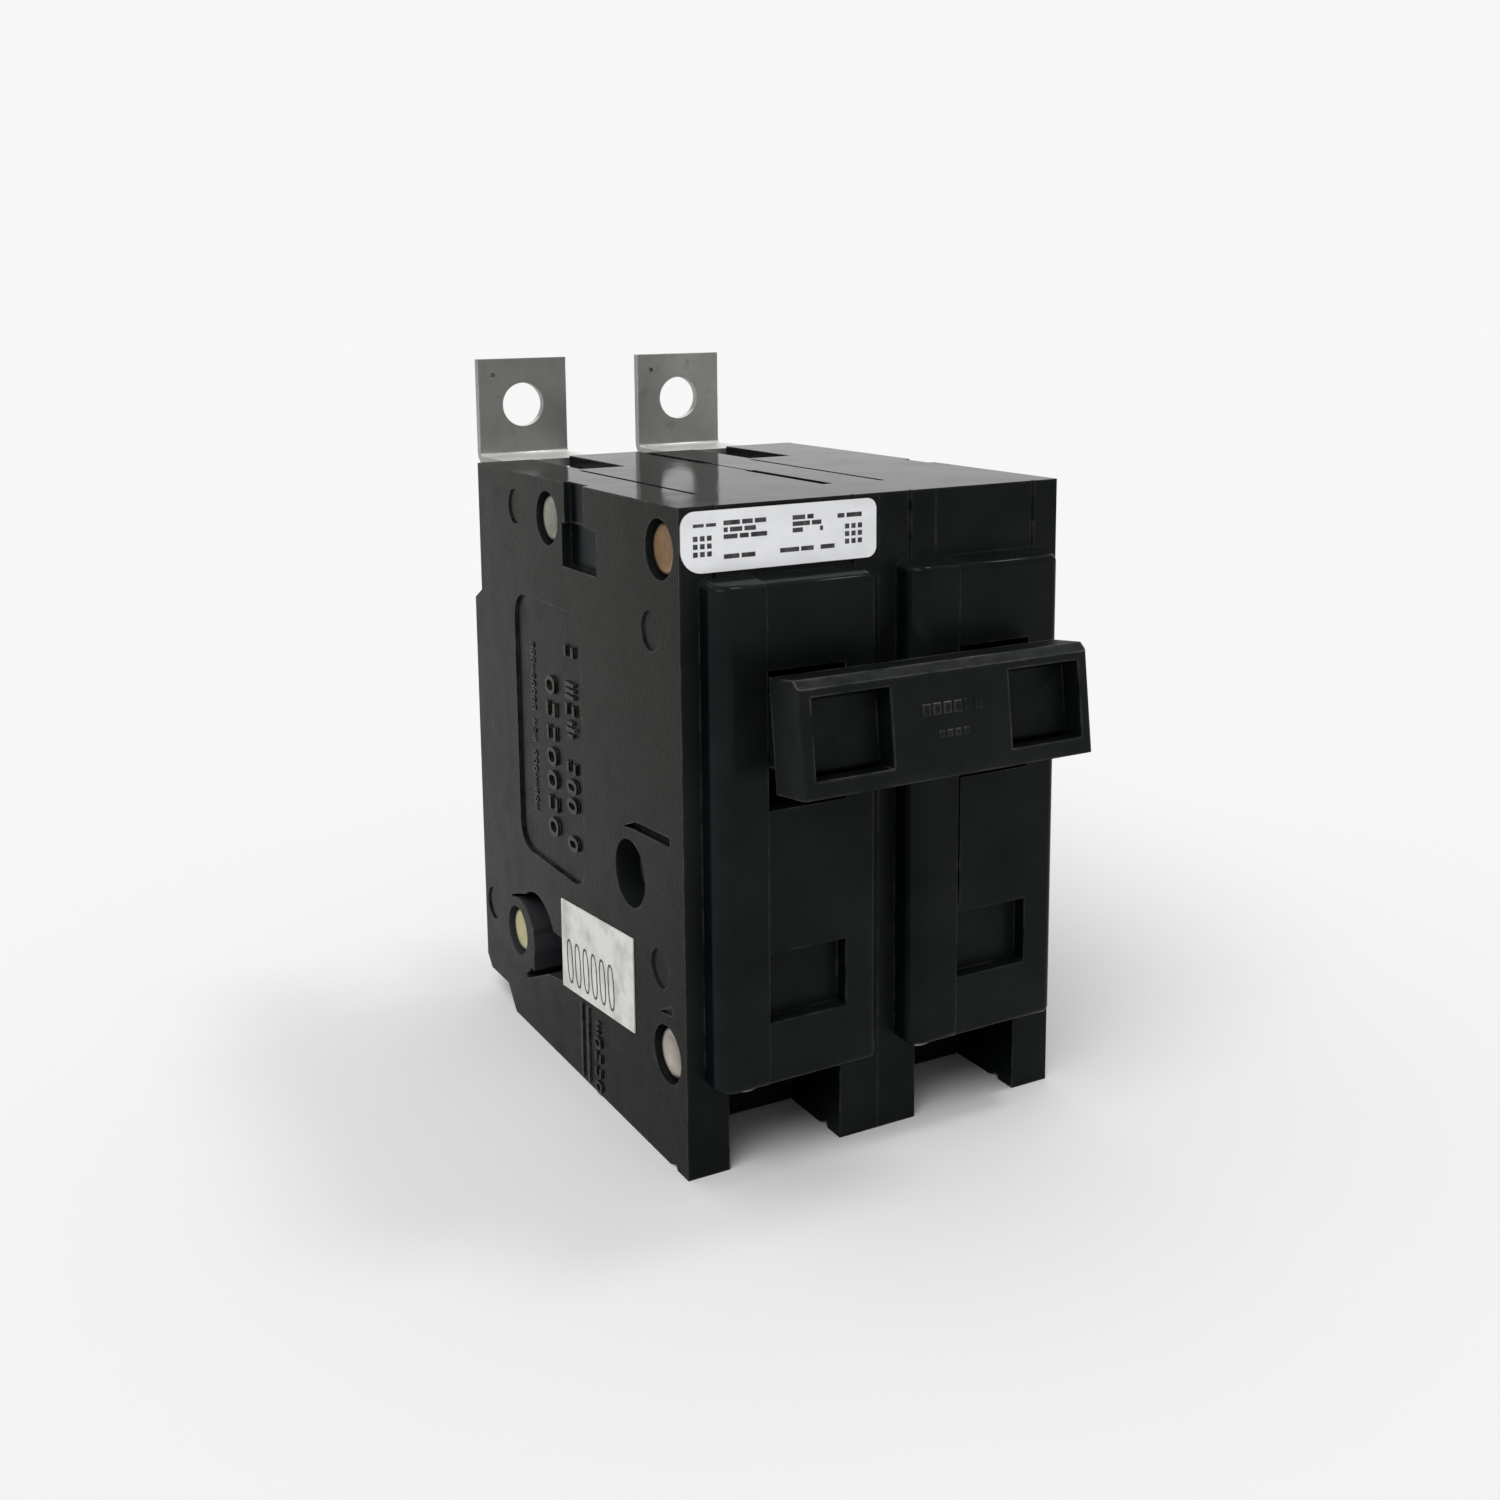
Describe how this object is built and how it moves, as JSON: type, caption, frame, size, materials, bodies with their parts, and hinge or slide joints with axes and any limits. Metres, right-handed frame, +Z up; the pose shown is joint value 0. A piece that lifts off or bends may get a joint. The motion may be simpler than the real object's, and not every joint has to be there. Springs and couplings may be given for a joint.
{
  "type": "molded case breaker",
  "caption": "Bolt-on molded case circuit breaker: glossy black poles side by side, handles joined by a tie bar, line tabs with bolt holes at the top, wire cages at the bottom.",
  "frame": {"origin": "centre of the mounting back: on the seam between the poles, on the back plane, 30 mm above the bottom", "axes": "+Y out of the mounting back, so the handles face -Y; +Z up towards the line tabs; X along the row of poles, left pole at -X"},
  "size_m": [0.051, 0.0874, 0.0898],
  "materials": {
    "moulded_case": "glossy black thermoset moulding",
    "moulded_handle": "matt black moulding",
    "moulded_insulator": "matt",
    "tinned_copper": "dull tin plating",
    "copper": "bare copper",
    "copper_braid": "fine stranded braid",
    "silver_alloy": "satin",
    "plated_steel": "zinc plated",
    "spring_steel": "satin",
    "bimetal_strip": "rolled",
    "brass_screw": "turned",
    "vulcanised_fibre": "matt",
    "rivet_metal": "plated rivet heads",
    "foil_label": "satin foil",
    "paper_label": "uncoated paper"
  },
  "bodies": {
    "case": {"arc_chute_frame_left": "vulcanised_fibre", "arc_chute_frame_right": "vulcanised_fibre", "arc_plates_left": "plated_steel", "arc_plates_right": "plated_steel", "armature_pin_left": "plated_steel", "armature_pin_right": "plated_steel", "base_left": "moulded_case", "base_right": "moulded_case", "bimetal_left": "bimetal_strip", "bimetal_right": "bimetal_strip", "calibration_screw_left": "brass_screw", "calibration_screw_right": "brass_screw", "cover_left": "moulded_case", "cover_right": "moulded_case", "cradle_pin_left": "plated_steel", "cradle_pin_right": "plated_steel", "date_label": "paper_label", "fixed_contact_left": "silver_alloy", "fixed_contact_right": "silver_alloy", "flexible_braid_left": "copper_braid", "flexible_braid_right": "copper_braid", "line_terminal_left": "tinned_copper", "line_terminal_right": "tinned_copper", "load_strap_left": "tinned_copper", "load_strap_right": "tinned_copper", "magnet_yoke_left": "plated_steel", "magnet_yoke_right": "plated_steel", "rating_label": "foil_label", "rivets": "rivet_metal", "toggle_spring_left": "spring_steel", "toggle_spring_right": "spring_steel"},
    "handle_assembly": {"handle_left": "moulded_handle", "handle_right": "moulded_handle", "handle_tie": "moulded_handle"},
    "trip_bar": {"trip_bar": "moulded_insulator"},
    "contact_arm_left": {"contact_arm_left": "copper", "moving_contact_left": "silver_alloy"},
    "cradle_left": {"cradle_left": "plated_steel"},
    "armature_left": {"armature_left": "plated_steel"},
    "terminal_screw_left": {"terminal_screw_left": "plated_steel"},
    "wire_cage_left": {"wire_cage_left": "plated_steel"},
    "contact_arm_right": {"contact_arm_right": "copper", "moving_contact_right": "silver_alloy"},
    "cradle_right": {"cradle_right": "plated_steel"},
    "armature_right": {"armature_right": "plated_steel"},
    "terminal_screw_right": {"terminal_screw_right": "plated_steel"},
    "wire_cage_right": {"wire_cage_right": "plated_steel"}
  },
  "joints": [
    {"name": "handle_pivot", "type": "hinge", "parent": "case", "child": "handle_assembly", "pos_m": [0, -0.0566, 0.0205], "axis": [1, 0, 0], "range_deg": [0, 25]},
    {"name": "trip_bar_turn", "type": "hinge", "parent": "case", "child": "trip_bar", "pos_m": [0, -0.0491, 0.0019], "axis": [-1, 0, 0], "range_deg": [0, 12], "stiffness_Nm_per_rad": 0.01, "springref_deg": -20.05},
    {"name": "contact_arm_left_swing", "type": "hinge", "parent": "handle_assembly", "child": "contact_arm_left", "pos_m": [-0.012, -0.04608, 0.01921], "axis": [1, 0, 0], "range_deg": [-46.5, 0], "deforming": ["flexible_braid_left"]},
    {"name": "cradle_left_release", "type": "hinge", "parent": "case", "child": "cradle_left", "pos_m": [-0.012, -0.0326, 0.036], "axis": [1, 0, 0], "range_deg": [0, 15.2], "deforming": ["toggle_spring_left"]},
    {"name": "armature_left_pull", "type": "hinge", "parent": "case", "child": "armature_left", "pos_m": [-0.0119, -0.0293, -0.0065], "axis": [1, 0, 0], "range_deg": [0, 7.2]},
    {"name": "terminal_screw_left_turn", "type": "hinge", "parent": "case", "child": "terminal_screw_left", "pos_m": [-0.0127, -0.0526, -0.0232], "axis": [0, 1, 0], "range_deg": [0, 2071]},
    {"name": "wire_cage_left_draw", "type": "slide", "parent": "case", "child": "wire_cage_left", "axis": [0, -1, 0], "range_m": [0, 0.0046]},
    {"name": "contact_arm_right_swing", "type": "hinge", "parent": "handle_assembly", "child": "contact_arm_right", "pos_m": [0.0134, -0.04608, 0.01921], "axis": [1, 0, 0], "range_deg": [-46.5, 0], "deforming": ["flexible_braid_right"]},
    {"name": "cradle_right_release", "type": "hinge", "parent": "case", "child": "cradle_right", "pos_m": [0.0134, -0.0326, 0.036], "axis": [1, 0, 0], "range_deg": [0, 15.2], "deforming": ["toggle_spring_right"]},
    {"name": "armature_right_pull", "type": "hinge", "parent": "case", "child": "armature_right", "pos_m": [0.0135, -0.0293, -0.0065], "axis": [1, 0, 0], "range_deg": [0, 7.2]},
    {"name": "terminal_screw_right_turn", "type": "hinge", "parent": "case", "child": "terminal_screw_right", "pos_m": [0.0127, -0.0526, -0.0232], "axis": [0, 1, 0], "range_deg": [0, 2071]},
    {"name": "wire_cage_right_draw", "type": "slide", "parent": "case", "child": "wire_cage_right", "axis": [0, -1, 0], "range_m": [0, 0.0046]}
  ],
  "couplings": [
    {"joint": "contact_arm_left_swing", "follows": "handle_pivot", "ratio": -1.84},
    {"joint": "cradle_left_release", "follows": "trip_bar_turn", "ratio": 1.25},
    {"joint": "armature_left_pull", "follows": "trip_bar_turn", "ratio": 0.58333},
    {"joint": "terminal_screw_left_turn", "follows": "wire_cage_left_draw", "rad_per_m": 7854},
    {"joint": "contact_arm_right_swing", "follows": "handle_pivot", "ratio": -1.84},
    {"joint": "cradle_right_release", "follows": "trip_bar_turn", "ratio": 1.25},
    {"joint": "armature_right_pull", "follows": "trip_bar_turn", "ratio": 0.58333},
    {"joint": "terminal_screw_right_turn", "follows": "wire_cage_right_draw", "rad_per_m": 7854}
  ]
}
